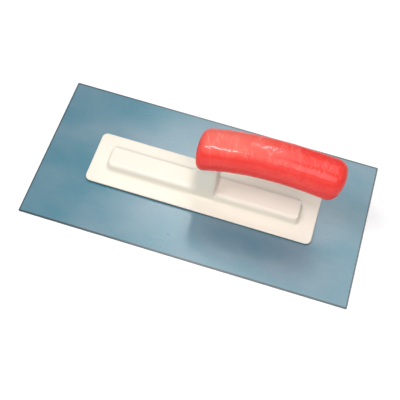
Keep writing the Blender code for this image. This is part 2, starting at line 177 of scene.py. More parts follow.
POST_FRONT = -6.8
POST_REAR = 10.8
POST_TAPER = 0.9
POST_HALF_WIDTH = 11.0
POST_SHOULDER = 54.0
POST_EDGE = 2.8
POST_REAR_EDGE = 2.4
NOSE_FILLET = 8.5
TAIL_FILLET = 2.2
NECK_HALF_LENGTH = 4.7
NECK_HALF_WIDTH = 7.0
SMALL_EDGE = 0.4

# Handle, in millimetres.
HANDLE_HEIGHTS = (58.7, 76.1, 75.2, 67.9)
HANDLE_HALF_WIDTHS = (16.8, 15.8, 15.9)
HANDLE_HALF_HEIGHTS = (16.7, 15.7, 16.8)
HANDLE_NOSE_ROUND = 7.0
HANDLE_TAIL_ROUND = 9.0
HANDLE_NOSE_SLANT = -0.09
HANDLE_TAIL_SLANT = 0.19
HANDLE_SQUARENESS = 2.3
GRIP_WALL = 2.5
SKIN_INSET = 0.3


def slanted_reach(slant, radius, half_height):
    """How far a slanted, rounded handle end passes the end of its centre line."""
    return radius * (math.hypot(1.0, slant) - 1) + abs(slant) * (half_height - radius)


NOSE_REACH = slanted_reach(HANDLE_NOSE_SLANT, HANDLE_NOSE_ROUND, HANDLE_HALF_HEIGHTS[0])
TAIL_REACH = slanted_reach(HANDLE_TAIL_SLANT, HANDLE_TAIL_ROUND, HANDLE_HALF_HEIGHTS[2])
HANDLE_NOSE_X = GRIP_LOW.x + NOSE_REACH
HANDLE_TAIL_X = GRIP_HIGH.x - TAIL_REACH


# ---------------------------------------------------------------- mesh helpers


def new_object(name, mesh):
    mesh.name = name
    piece = bpy.data.objects.new(name, mesh)
    bpy.context.scene.collection.objects.link(piece)
    return piece


def mesh_from(points, faces):
    """A mesh from points in millimetres."""
    mesh = bpy.data.meshes.new("mesh")
    mesh.from_pydata((np.asarray(points) * MM).tolist(), [], faces)
    mesh.update()
    return mesh


def apply_modifiers(piece):
    """Freeze an object's modifiers into its mesh."""
    shown = piece.evaluated_get(bpy.context.evaluated_depsgraph_get())
    mesh = bpy.data.meshes.new_from_object(shown)
    piece.modifiers.clear()
    old = piece.data
    piece.data = mesh
    bpy.data.meshes.remove(old)


def cut(piece, cutter, operation="DIFFERENCE"):
    """Apply a boolean with a cutter, which is then removed."""
    modifier = piece.modifiers.new("cut", "BOOLEAN")
    modifier.operation = operation
    modifier.solver = "MANIFOLD"
    modifier.object = cutter
    apply_modifiers(piece)
    bpy.data.objects.remove(cutter, do_unlink=True)


def smooth(piece, sharp_degrees):
    """Smooth shading with sharp creases kept and flat faces kept flat."""
    piece.data.shade_smooth()
    piece.data.set_sharp_from_angle(angle=math.radians(sharp_degrees))
    modifier = piece.modifiers.new("normals", "WEIGHTED_NORMAL")
    modifier.keep_sharp = True
    modifier.weight = 90
    apply_modifiers(piece)


def loft_mesh(bodies):
    """Skin each body's rings of points, with flat end caps. Points are in millimetres."""
    shape = bmesh.new()
    for rings in bodies:
        loops = [[shape.verts.new(Vector(point) * MM) for point in ring] for ring in rings]
        shape.faces.new(loops[0])
        shape.faces.new(loops[-1])
        for lower, upper in zip(loops[:-1], loops[1:]):
            for index in range(len(lower)):
                after = (index + 1) % len(lower)
                shape.faces.new((lower[index], lower[after], upper[after], upper[index]))
    bmesh.ops.recalc_face_normals(shape, faces=shape.faces)
    mesh = bpy.data.meshes.new("loft")
    shape.to_mesh(mesh)
    shape.free()
    return mesh


def circle(radius, z, x=0.0, steps=48):
    angles = [2 * math.pi * step / steps for step in range(steps)]
    return [(x + radius * math.cos(a), radius * math.sin(a), z) for a in angles]


def rounded_rectangle(x_low, x_high, y_half, radius, z, corner_steps=8):
    centres = (
        (x_high - radius, y_half - radius, 0.0),
        (x_low + radius, y_half - radius, 90.0),
        (x_low + radius, radius - y_half, 180.0),
        (x_high - radius, radius - y_half, 270.0),
    )
    ring = []
    for middle_x, middle_y, start in centres:
        for step in range(corner_steps + 1):
            angle = math.radians(start + 90.0 * step / corner_steps)
            ring.append((middle_x + radius * math.cos(angle), middle_y + radius * math.sin(angle), z))
    return ring


# ---------------------------------------------------------------- distance fields


def round_union(first, second, radius):
    reach_first = np.maximum(radius - first, 0.0)
    reach_second = np.maximum(radius - second, 0.0)
    return np.maximum(radius, np.minimum(first, second)) - np.hypot(reach_first, reach_second)


def round_intersection(first, second, radius):
    reach_first = np.maximum(radius + first, 0.0)
    reach_second = np.maximum(radius + second, 0.0)
    return np.minimum(-radius, np.maximum(first, second)) + np.hypot(reach_first, reach_second)


def ramp(value, start, end):
    """Smooth step from 0 at start to 1 at end."""
    share = np.clip((value - start) / (end - start), 0.0, 1.0)
    return share * share * (3 - 2 * share)


def flange_field(x, y, z):
    over_x = np.abs(x) - MOUNT_HIGH.x + FLANGE_CORNER
    over_y = np.abs(y) - MOUNT_HIGH.y + FLANGE_CORNER
    corner = np.hypot(np.maximum(over_x, 0.0), np.maximum(over_y, 0.0))
    outline = corner + np.minimum(np.maximum(over_x, over_y), 0.0) - FLANGE_CORNER
    return round_intersection(outline, z - FLANGE_TOP, FLANGE_EDGE)


def rib_side(y, z):
    lean = math.hypot(1.0, RIB_SIDE_SLOPE)
    return (np.abs(y) - RIB_HALF_WIDTH + RIB_SIDE_SLOPE * (z - FLANGE_TOP)) / lean


def rib_profile(y, z):
    """The rib's section across its length: drafted sides and strongly rounded long edges."""
    return round_intersection(rib_side(y, z), z - RIB_TOP, RIB_EDGE)


def rib_field(x, y, z, profile):
    """The rib: its end walls meet its sides in round corners and its top in a tight edge."""
    lean = math.hypot(1.0, RIB_END_SLOPE)
    end = (np.abs(x) - RIB_HALF_LENGTH + RIB_END_SLOPE * (z - FLANGE_TOP)) / lean
    walls = round_intersection(end, rib_side(y, z), RIB_CORNER)
    return round_intersection(profile, walls, RIB_END_EDGE)


def post_field(x, y, z, profile):
    """The post with a wide fillet on its nose side and a tight one on its tail side."""
    rise = np.clip(z - RIB_TOP, 0.0, None) / (POST_SHOULDER - RIB_TOP)
    nose = round_union(POST_FRONT - x, profile, NOSE_FILLET)
    tail = round_union(x - POST_REAR + POST_TAPER * rise, profile, TAIL_FILLET)
    edge = np.where(x < 0, POST_EDGE, POST_REAR_EDGE)
    column = round_intersection(np.maximum(nose, tail), np.abs(y) - POST_HALF_WIDTH, edge)
    column = np.maximum(column, np.abs(x) - RIB_HALF_LENGTH / 2)
    return round_intersection(column, z - POST_SHOULDER, SMALL_EDGE)


def neck_field(x, y, z):
    outline = round_intersection(
        np.abs(x - BOLT_X) - NECK_HALF_LENGTH, np.abs(y) - NECK_HALF_WIDTH, POST_EDGE
    )
    return round_intersection(outline, z - MOUNT_HIGH.z, SMALL_EDGE)


def mounting_field(x, y, z):
    """Signed distance to the mounting's outer skin, with a solid underside."""
    profile = rib_profile(y, z)
    upper = np.minimum(rib_field(x, y, z, profile), post_field(x, y, z, profile))
    share = ramp(x, FOOT_CHANGE_START, FOOT_CHANGE_END)
    fillet = FOOT_FILLET + (FOOT_FILLET_RIGHT - FOOT_FILLET) * share
    skin = round_union(upper, flange_field(x, y, z), fillet)
    skin = np.minimum(skin, neck_field(x, y, z))
    return round_intersection(skin, MOUNT_LOW.z - z, SMALL_EDGE / 2)


def graded_lines(low, high, zones, coarse, growth=0.3):
    """Grid lines from low to high, fine in the zones (start, end, step) and coarse between."""
    lines = [low]
    while lines[-1] < high:
        here = lines[-1]
        step = coarse
        for start, end, fine in zones:
            away = max(start - here, here - end, 0.0)
            step = min(step, fine + growth * away)
        lines.append(here + step)
    lines = np.array(lines)
    return low + (lines - low) * (high - low) / (lines[-1] - low)


def surface_net(field, xs, ys, zs):
    """Quads around the zero level of a field on a grid, with their points moved onto it."""
    values = field(xs[:, None, None], ys[None, :, None], zs[None, None, :])
    solid = values < 0
    cell_shape = tuple(size - 1 for size in solid.shape)
    count = np.zeros(cell_shape, int)
    corners = [(i, j, k) for i in (0, 1) for j in (0, 1) for k in (0, 1)]

    def corner_view(array, corner):
        return array[tuple(slice(c, c + size) for c, size in zip(corner, cell_shape))]

    for corner in corners:
        count += corner_view(solid, corner)
    active = (count > 0) & (count < 8)
    number = np.full(cell_shape, -1)
    number[active] = np.arange(active.sum())
    cells = np.argwhere(active)
    points = crossing_means(values, cells, corners, (xs, ys, zs))
    faces = []
    for axis in range(3):
        faces.append(crossing_quads(solid, number, axis))
    points = onto_surface(field, points)
    return points, np.concatenate(faces)


def crossing_means(values, cells, corners, lines):
    """For each cell, the mean of the places where its edges cross the zero level."""
    total = np.zeros((len(cells), 3))
    crossings = np.zeros(len(cells))
    for start in corners:
        for axis in range(3):
            if start[axis] == 1:
                continue
            end = list(start)
            end[axis] = 1
            first = values[tuple((cells + start).T)]
            second = values[tuple((cells + end).T)]
            crossed = (first < 0) != (second < 0)
            share = np.where(crossed, first / np.where(crossed, first - second, 1.0), 0.0)
            for k in range(3):
                low = lines[k][cells[:, k] + start[k]]
                high = lines[k][cells[:, k] + end[k]]
                total[:, k] += np.where(crossed, low + share * (high - low), 0.0)
            crossings += crossed
    return total / crossings[:, None]


def crossing_quads(solid, number, axis):
    """One quad for each grid edge along an axis that passes through the surface."""
    near = [slice(None)] * 3
    far = [slice(None)] * 3
    near[axis] = slice(None, -1)
    far[axis] = slice(1, None)
    entering = solid[tuple(near)] != solid[tuple(far)]
    edges = np.argwhere(entering)
    second, third = [(1, 2), (2, 0), (0, 1)][axis]
    corners = []
    for step_second, step_third in ((-1, -1), (0, -1), (0, 0), (-1, 0)):
        cell = edges.copy()
        cell[:, second] += step_second
        cell[:, third] += step_third
        corners.append(number[tuple(cell.T)])
    quads = np.stack(corners, axis=1)
    leaving = solid[tuple(near)][tuple(edges.T)]
    quads[~leaving] = quads[~leaving][:, ::-1]
    return quads


def field_slope(field, points, reach=0.01):
    """Gradient of a field at each point, by central differences."""
    slopes = np.zeros_like(points)
    for k in range(3):
        offset = np.zeros(3)
        offset[k] = reach
        ahead = field(*(points + offset).T)
        behind = field(*(points - offset).T)
        slopes[:, k] = (ahead - behind) / (2 * reach)
    return slopes


def onto_surface(field, points, rounds=4, longest=0.3):
    """Points moved along the gradient onto the field's zero level."""
    for _ in range(rounds):
        slope = field_slope(field, points)
        steepness = np.maximum((slope**2).sum(axis=1), 0.05)
        move = field(*points.T) / steepness
        shift = slope * move[:, None]
        length = np.linalg.norm(shift, axis=1, keepdims=True)
        points = points - shift * np.minimum(1.0, longest / np.maximum(length, 1e-9))
    return points


# ---------------------------------------------------------------- mounting


def mounting_lines():
    """Grid lines that are close together only where the mounting's skin bends."""
    half_length = MOUNT_HIGH.x
    half_width = MOUNT_HIGH.y
    rib_top_end = RIB_HALF_LENGTH - RIB_END_SLOPE * (RIB_TOP - FLANGE_TOP)
    x_zones = [
        (-half_length - 0.3, -half_length + FLANGE_EDGE, 0.2),
        (-half_length, -half_length + FLANGE_CORNER, 0.6),
        (-RIB_HALF_LENGTH - FOOT_FILLET, -rib_top_end + RIB_END_EDGE, 0.25),
        (-rib_top_end, -rib_top_end + RIB_CORNER, 0.5),
        (POST_FRONT - NOSE_FILLET, POST_REAR + TAIL_FILLET, 0.45),
        (rib_top_end - RIB_CORNER, rib_top_end, 0.5),
        (rib_top_end - RIB_END_EDGE, RIB_HALF_LENGTH + FOOT_FILLET_RIGHT, 0.2),
        (half_length - FLANGE_CORNER, half_length, 0.6),
        (half_length - FLANGE_EDGE, half_length + 0.3, 0.2),
    ]
    xs = graded_lines(-half_length - 0.6, half_length + 0.6, x_zones, 3.0)
    rib_bend = RIB_HALF_WIDTH - RIB_EDGE - 1.0
    y_zones = []
    for side in (-1, 1):
        for start, end, step in (
            (rib_bend, RIB_HALF_WIDTH + FOOT_FILLET, 0.35),
            (half_width - FLANGE_CORNER, half_width, 0.7),
            (half_width - FLANGE_EDGE, half_width + 0.3, 0.2),
        ):
            y_zones.append((min(side * start, side * end), max(side * start, side * end), step))
    ys = graded_lines(-half_width - 0.6, half_width + 0.6, y_zones, 2.0)
    z_zones = [
        (MOUNT_LOW.z - 0.3, RIB_TOP + TAIL_FILLET, 0.3),
        (RIB_TOP, RIB_TOP + NOSE_FILLET, 0.6),
        (POST_SHOULDER - 1.0, POST_SHOULDER + 0.6, 0.3),
        (MOUNT_HIGH.z - 1.0, MOUNT_HIGH.z + 0.3, 0.3),
    ]
    zs = graded_lines(MOUNT_LOW.z - 0.6, MOUNT_HIGH.z + 0.6, z_zones, 2.5)
    return xs, ys, zs


def box_rings(x_low, x_high, y_half, z_low, z_high):
    corners = ((x_low, -y_half), (x_high, -y_half), (x_high, y_half), (x_low, y_half))
    return [[(x, y, z) for x, y in corners] for z in (z_low, z_high)]


def rib_hollow():
    """The room inside the rib, less its webs and stud bosses, plus the studs' holes."""
    below = MOUNT_LOW.z - 1.0
    outline = []
    for z in (below, RIB_HOLLOW_TOP):
        ring = rounded_rectangle(
            -RIB_HOLLOW_HALF_LENGTH, RIB_HOLLOW_HALF_LENGTH, RIB_HOLLOW_HALF_WIDTH, HOLLOW_CORNER, z
        )
        outline.append(ring)
    hollow = new_object("rib_hollow", loft_mesh([outline]))
    cut(hollow, new_object("webs", loft_mesh(web_bodies())))
    boss_ends = (below - 1.0, RIB_HOLLOW_TOP + 1.0)
    bosses = [[circle(BOSS_RADIUS, z, x) for z in boss_ends] for x in STUD_PLACES]
    cut(hollow, new_object("bosses", loft_mesh(bosses)))
    holes = loft_mesh([stud_hole(x, below) for x in STUD_PLACES])
    cut(hollow, new_object("stud_holes", holes), "UNION")
    bore = [circle(BORE_RADIUS, z, BOLT_X) for z in (RIB_HOLLOW_TOP - 1.0, MOUNT_HIGH.z + 1.0)]
    cut(hollow, new_object("bolt_bore", loft_mesh([bore])), "UNION")
    return hollow


def web_bodies():
    middles = sorted(STUD_PLACES)
    gaps = [(a + b) / 2 for a, b in zip(middles[:-1], middles[1:]) if a * b > 0]
    hub = (PLATE_HIGH.x - PLATE_LOW.x) / 2 + CLEARANCE + WEB_THICKNESS / 2
    base_top = MOUNT_LOW.z + STUD_BASE_ROOM
    places = [(x, WEB_BOTTOM) for x in gaps + [BOLT_X - hub, BOLT_X + hub]]
    places += [(x, base_top) for x in STUD_PLACES]
    half = WEB_THICKNESS / 2
    wide = RIB_HOLLOW_HALF_WIDTH + 1.0
    return [box_rings(x - half, x + half, wide, low, RIB_HOLLOW_TOP + 1.0) for x, low in places]


def stud_hole(x, below):
    base = STUD_HIGH.x - STUD_LOW.x
    step_z = MOUNT_LOW.z + STUD_STEP
    return [
        circle(base / 2 + CLEARANCE, below, x),
        circle(base / 2 + CLEARANCE, step_z, x),
        circle(STUD_SHANK_RADIUS + CLEARANCE, step_z, x),
        circle(STUD_SHANK_RADIUS + CLEARANCE, STUD_HIGH.z + CLEARANCE, x),
    ]


def make_mounting(material):
    points, faces = surface_net(mounting_field, *mounting_lines())
    mounting = new_object("mounting_body", mesh_from(points, faces.tolist()))
    cut(mounting, rib_hollow())
    smooth(mounting, MOUNTING_SHARP_ANGLE)
    mounting.data.materials.clear()
    mounting.data.materials.append(material)
    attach(mounting, "root")
    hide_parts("mounting")


# ---------------------------------------------------------------- handle grip


def through_three(values, share):
    """The parabola through a first, a middle and a last value."""
    first, middle, last = values
    start = first * (1 - share) * (1 - 2 * share)
    return start + middle * 4 * share * (1 - share) + last * share * (2 * share - 1)


def centre_height(share):
    """Bezier height of the handle's centre line, from nose (0) to tail (1)."""
    first, second, third, last = HANDLE_HEIGHTS
    rest = 1 - share
    start = rest**3 * first + 3 * rest**2 * share * second
    return start + 3 * rest * share**2 * third + share**3 * last


def handle_ring(x, inset, end_inset, steps):
    """One superellipse ring of the handle, as an array of points."""
    share = (x - HANDLE_NOSE_X) / (HANDLE_TAIL_X - HANDLE_NOSE_X)
    half_width = through_three(HANDLE_HALF_WIDTHS, share) - inset - end_inset
    half_height = through_three(HANDLE_HALF_HEIGHTS, share) - inset - end_inset
    slant = HANDLE_NOSE_SLANT + (HANDLE_TAIL_SLANT - HANDLE_NOSE_SLANT) * share
    angle = 2 * math.pi * np.arange(steps) / steps
    power = 2 / HANDLE_SQUARENESS
    across = np.sign(np.cos(angle)) * np.abs(np.cos(angle)) ** power * half_width
    rise = np.sign(np.sin(angle)) * np.abs(np.sin(angle)) ** power * half_height
    return np.stack([x + slant * rise, across, centre_height(share) + rise], axis=1)


def handle_rings(inset, steps, end_steps, body_steps):
    """The whole handle, shrunk by an inset, with a rounded nose and a rounder tail."""
    nose_round = HANDLE_NOSE_ROUND - inset
    tail_round = HANDLE_TAIL_ROUND - inset
    body_start = HANDLE_NOSE_X + inset + nose_round
    body_end = HANDLE_TAIL_X - inset - tail_round
    rings = []
    for step in range(end_steps):
        angle = math.pi / 2 * step / end_steps
        x = body_start - nose_round * math.cos(angle)
        rings.append(handle_ring(x, inset, nose_round * (1 - math.sin(angle)), steps))
    for step in range(body_steps + 1):
        x = body_start + (body_end - body_start) * step / body_steps
        rings.append(handle_ring(x, inset, 0.0, steps))
    for step in range(1, end_steps + 1):
        angle = math.pi / 2 * step / end_steps
        x = body_end + tail_round * math.sin(angle)
        rings.append(handle_ring(x, inset, tail_round * (1 - math.cos(angle)), steps))
    return rings


def with_caps(rings, cap_steps):
    """Add shrinking rings that fill the flat end faces, down to a small last ring."""
    def cap(ring):
        middle = ring.mean(axis=0)
        return [middle + (ring - middle) * (1 - step / cap_steps) for step in range(1, cap_steps)]

    return cap(rings[0])[::-1] + rings + cap(rings[-1])


def ring_mesh(rings):
    """A closed skin over rings that all have the same number of points."""
    steps = len(rings[0])
    points = np.concatenate(rings)
    faces = []
    for row in range(len(rings) - 1):
        for index in range(steps):
            after = (index + 1) % steps
            low = row * steps
            high = low + steps
            faces.append((low + index, high + index, high + after, low + after))
    faces.append(tuple(range(steps)))
    last = (len(rings) - 1) * steps
    faces.append(tuple(range(last + steps - 1, last - 1, -1)))
    return points, faces


def wave(spot, scale, offset):
    """Signed noise at a point, with one scale for each axis."""
    return noise.noise(Vector((spot[0] / scale[0], spot[1] / scale[1], spot[2] / scale[2] + offset)))


def ridge(spot, scale, offset):
    """Narrow crests with flat ground between them, 0 to 1."""
    return max(0.0, 1.0 - CREST_SHARPNESS * abs(wave(spot, scale, offset))) ** 2


def nose_crease(x, y):
    """A thin raised line across the grip where its nose begins to curve down."""
    away = x - CREASE_X - CREASE_LEAN * y
    return math.exp(-((away / CREASE_WIDTH) ** 2))


def ramp_number(value, start, end):
    """ramp for a single number."""
    share = min(1.0, max(0.0, (value - start) / (end - start)))
    return share * share * (3 - 2 * share)


def skin_creases(point):
    """Strength of the crumpled film's creases at a point, 0 to 1, from three crossing families."""
    x, y, z = point
    drift = 4.0 * wave(point, (22.0, 15.0, 15.0), 3.1) + 0.9 * wave(point, (5.0, 5.0, 5.0), 8.7)
    around = (x + drift, y, z)
    slanted = (x + 0.75 * y + drift, y - 0.3 * x, z)
    counter = (x - 0.9 * y - drift, y + 0.4 * x, z)
    folds = ridge(around, (2.6, 12.0, 12.0), 0.0)
    first = ridge(slanted, (2.4, 20.0, 20.0), 14.2)
    second = ridge(counter, (3.4, 12.0, 12.0), 41.9)
    patch = min(1.0, max(0.15, 0.6 + 1.1 * wave(point, (12.0, 10.0, 10.0), 21.4)))
    calm = ramp_number(x, CREASE_X, CALM_NOSE_END) * 0.6 + 0.4
    crossing = calm * patch * max(folds, FIRST_SHARE * first, SECOND_SHARE * second)
    return max(crossing, nose_crease(x, y) if z > CREASE_LOWEST else 0.0)


def skin_height(point, creases):
    """Height of the vinyl skin at a point in millimetres: creases, swell and the nose line."""
    x = point[0]
    swell = 0.5 * (wave(point, (4.0, 6.0, 6.0), 31.7) - 1.0)
    calm = ramp_number(x, CREASE_X, CALM_NOSE_END)
    return FOLD_HEIGHT * (creases - 1.0) + SWELL_HEIGHT * swell * calm


def wrinkled(points, faces):
    """The skin moved along its normals by its creases, and each point's crease strength."""
    smooth_skin = mesh_from(points, faces)
    normals = np.zeros(len(points) * 3)
    smooth_skin.vertices.foreach_get("normal", normals)
    bpy.data.meshes.remove(smooth_skin)
    creases = np.array([skin_creases(point) for point in points])
    height = np.array([skin_height(point, crease) for point, crease in zip(points, creases)])
    return points + normals.reshape(-1, 3) * height[:, None], creases


def post_cutter():
    """The hole that the post fills, with a clearance all round."""
    rings = []
    for z in (RIB_TOP, POST_SHOULDER + CLEARANCE):
        rise = (z - RIB_TOP) / (POST_SHOULDER - RIB_TOP)
        rear = POST_REAR - POST_TAPER * rise
        wide = POST_HALF_WIDTH + CLEARANCE
        ring = rounded_rectangle(POST_FRONT - CLEARANCE, rear + CLEARANCE, wide, POST_EDGE, z)
        rings.append(ring)
    return new_object("post_hole", loft_mesh([rings]))


def make_grip(material):
    rings = with_caps(handle_rings(SKIN_INSET, *SKIN_FINENESS), SKIN_CAP_RINGS)
    points, faces = ring_mesh(rings)
    points, creases = wrinkled(points, faces)
    grip = new_object("vinyl_grip", mesh_from(points, faces))
    layer = grip.data.attributes.new(CREASE_LAYER, "FLOAT", "POINT")
    layer.data.foreach_set("value", creases)
    lining_points, lining_faces = ring_mesh(handle_rings(GRIP_WALL, *LINING_FINENESS))
    cut(grip, new_object("lining", mesh_from(lining_points, lining_faces)))
    cut(grip, post_cutter())
    smooth(grip, GRIP_SHARP_ANGLE)
    grip.data.materials.clear()
    grip.data.materials.append(material)
    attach(grip, "root")
    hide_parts("handle_grip")


# ---------------------------------------------------------------- materials


class Graph:
    """A short way to write a material's nodes."""

    def __init__(self, name):
        self.material = bpy.data.materials.new(name)
        self.material.use_nodes = True
        self.nodes = self.material.node_tree.nodes
        self.links = self.material.node_tree.links
        self.shader = self.nodes["Principled BSDF"]

    def add(self, kind, settings=None, **inputs):
        """Add a node; inputs are numbers, colours or other nodes' outputs."""
        node = self.nodes.new(kind)
        for key, value in (settings or {}).items():
            setattr(node, key, value)
        for key, value in inputs.items():
            self.feed(node.inputs[key.replace("_", " ")], value)
        return node

    def feed(self, socket, value):
        if isinstance(value, bpy.types.NodeSocket):
            self.links.new(value, socket)
        else:
            socket.default_value = value

    def math(self, operation, first, second=0.0, third=0.0):
        node = self.nodes.new("ShaderNodeMath")
        node.operation = operation
        for socket, value in zip(node.inputs, (first, second, third)):
            self.feed(socket, value)
        return node.outputs[0]

    def place(self, scale=(1.0, 1.0, 1.0)):
        """Object coordinates in metres, scaled."""
        source = self.nodes.new("ShaderNodeTexCoord").outputs["Object"]
        mapping = self.nodes.new("ShaderNodeMapping")
        mapping.inputs["Scale"].default_value = scale
        self.links.new(source, mapping.inputs["Vector"])
        return mapping.outputs["Vector"]

    def noise(self, vector, scale, detail=2.0, roughness=0.5, distortion=0.0):
        node = self.nodes.new("ShaderNodeTexNoise")
        self.feed(node.inputs["Vector"], vector)
        node.inputs["Scale"].default_value = scale
        node.inputs["Detail"].default_value = detail
        node.inputs["Roughness"].default_value = roughness
        node.inputs["Distortion"].default_value = distortion
        return node.outputs["Fac"]

    def span(self, value, from_low, from_high, to_low, to_high):
        node = self.nodes.new("ShaderNodeMapRange")
        self.feed(node.inputs["Value"], value)
        node.inputs["From Min"].default_value = from_low
        node.inputs["From Max"].default_value = from_high
        node.inputs["To Min"].default_value = to_low
        node.inputs["To Max"].default_value = to_high
        return node.outputs["Result"]

    def mix(self, share, first, second, blend="MIX"):
        node = self.nodes.new("ShaderNodeMix")
        node.data_type = "RGBA"
        node.blend_type = blend
        self.feed(node.inputs["Factor"], share)
        self.feed(node.inputs["A"], first)
        self.feed(node.inputs["B"], second)
        return node.outputs["Result"]

    def bump(self, height, distance, strength=1.0):
        node = self.nodes.new("ShaderNodeBump")
        node.inputs["Distance"].default_value = distance
        node.inputs["Strength"].default_value = strength
        self.feed(node.inputs["Height"], height)
        return node.outputs["Normal"]

    def set(self, **sockets):
        for key, value in sockets.items():
            self.feed(self.shader.inputs[key.replace("_", " ")], value)


def colour(red, green, blue):
    return (red, green, blue, 1.0)


def blade_steel():
    """Blue-grey filmed steel: a clouded tone, fine dust and grain, and dark edges, partly dark oxide on
    the sheared edge faces and partly painted shade along the rim.
    """
    graph = Graph("blade_steel_finish")
    clouds = graph.noise(graph.place((1.0, 1.6, 1.0)), 15.0, 3.0, 0.45)
    speckle = graph.noise(graph.place(), 700.0, 2.0, 0.6)
    grain = graph.noise(graph.place((12.0, 500.0, 500.0)), 1.0, 3.0, 0.6)
    tone = graph.mix(
        graph.span(clouds, 0.38, 0.62, 0.0, 1.0),
        colour(0.040, 0.180, 0.246),
        colour(0.118, 0.226, 0.286),
    )
    dust = graph.span(speckle, 0.25, 0.75, 0.94, 1.06)
    lines = graph.span(grain, 0.3, 0.7, 0.98, 1.02)
    film = graph.mix(1.0, tone, grey(graph, graph.math("MULTIPLY", dust, lines)), "MULTIPLY")
    # Painted shade: the blade's rim and its upright edge faces are darkened; on the edge faces this is
    # partly dark oxide.
    oxide_and_painted_shade = graph.math("MAXIMUM", edge_mask(graph), painted_rim_shade(graph))
    graph.set(Base_Color=graph.mix(oxide_and_painted_shade, film, colour(0.008, 0.028, 0.034)))
    graph.set(Roughness=graph.span(clouds, 0.3, 0.7, 0.27, 0.31))
    graph.set(Normal=graph.bump(speckle, 0.00001, 0.15))
    graph.set(IOR=BLADE_FILM_IOR)
    return graph.material


def painted_rim_shade(graph):
    """1 on the narrow rim of the blade's faces next to the sheared edge, where painted shade darkens the
    blade.
    """
    low, high = limits("blade")
    split = graph.add("ShaderNodeSeparateXYZ", Vector=graph.place())
    masks = []
    for axis, reach, width in (("X", high.x, SIDE_RIM_SHADE_WIDTH), ("Y", high.y, FRONT_RIM_SHADE_WIDTH)):
        away = graph.math("ABSOLUTE", split.outputs[axis])
        start = (reach - width) * MM
        full = (reach - width * 0.6) * MM
        masks.append(graph.span(away, start, full, 0.0, 0.95))
    return graph.math("MAXIMUM", *masks)


def grey(graph, value):
    """A colour with the same value in all three channels."""
    node = graph.nodes.new("ShaderNodeCombineColor")
    for socket in node.inputs:
        graph.feed(socket, value)
    return node.outputs["Color"]


def edge_mask(graph):
    """1 on faces that stand upright, 0 on level ones."""
    geometry = graph.nodes.new("ShaderNodeNewGeometry")
    split = graph.nodes.new("ShaderNodeSeparateXYZ")
    graph.links.new(geometry.outputs["True Normal"], split.inputs["Vector"])
    upright = graph.math("ABSOLUTE", split.outputs["Z"])
    return graph.span(upright, 0.8, 0.3, 0.0, 1.0)


def cream_plastic():
    """Moulded cream plastic: faint mottle, flow marks, grain and painted contact shade at its foot."""
    graph = Graph("cream_plastic_finish")
    mottle = graph.noise(graph.place(), 30.0, 4.0, 0.6, 0.4)
    grain = graph.noise(graph.place(), 1800.0, 3.0, 0.65)
    flow = graph.noise(graph.place((8.0, 90.0, 60.0)), 1.0, 3.0, 0.6, 0.8)
    base = graph.mix(
        graph.span(mottle, 0.3, 0.7, 0.0, 1.0),
        colour(0.80, 0.755, 0.655),
        colour(0.83, 0.78, 0.675),
    )
    tinted = graph.mix(graph.span(flow, 0.35, 0.75, 0.0, 0.35), base, colour(0.82, 0.75, 0.66))
    # Painted shade: the foot of the flange is darkened where it meets the blade.
    height = graph.add("ShaderNodeSeparateXYZ", Vector=graph.place()).outputs["Z"]
    start = (MOUNT_LOW.z + FOOT_SHADE_START) * MM
    end = (MOUNT_LOW.z + FOOT_SHADE_HEIGHT) * MM
    painted_foot_shade = graph.span(height, start, end, 0.95, 0.0)
    graph.set(Base_Color=graph.mix(painted_foot_shade, tinted, colour(0.04, 0.045, 0.045)), IOR=PLASTIC_IOR)
    graph.set(Roughness=graph.span(mottle, 0.3, 0.7, 0.42, 0.52))
    graph.set(Normal=graph.bump(grain, 0.00003, 0.5))
    return graph.material


def facing_up(graph):
    """1 where the surface looks straight up, 0 where it stands upright."""
    geometry = graph.nodes.new("ShaderNodeNewGeometry")
    return graph.add("ShaderNodeSeparateXYZ", Vector=geometry.outputs["Normal"]).outputs["Z"]


